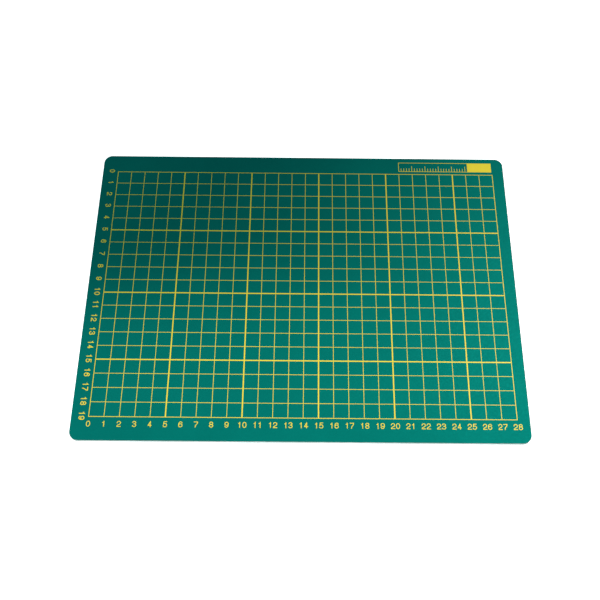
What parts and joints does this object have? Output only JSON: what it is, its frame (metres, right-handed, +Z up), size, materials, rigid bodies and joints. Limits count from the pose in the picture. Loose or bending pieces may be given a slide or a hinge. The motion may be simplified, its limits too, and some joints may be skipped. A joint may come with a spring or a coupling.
{
  "type": "cutting mat",
  "caption": "Flat rectangular craft cutting mat with rounded corners, a bonded PVC laminate whose top carries a printed centimetre grid and a blank title panel.",
  "frame": {"origin": "centre of the underside, on the surface that the mat lies on", "axes": "+X along the long side, to the right for someone at the numbered front edge; +Y to the back edge with the title panel; +Z up, out of the printed face"},
  "size_m": [0.3, 0.22, 0.003],
  "materials": {
    "green_healing_pvc": "matte",
    "pale_support_pvc": "matte",
    "white_core_pvc": "matte",
    "yellow_ink": "satin"
  },
  "bodies": {
    "root": {"bottom_face_ply": "green_healing_pvc", "lower_support_ply": "pale_support_pvc", "core_ply": "white_core_pvc", "upper_support_ply": "pale_support_pvc", "top_face_ply": "green_healing_pvc", "grid_print": "yellow_ink", "title_panel_print": "yellow_ink"}
  },
  "joints": []
}
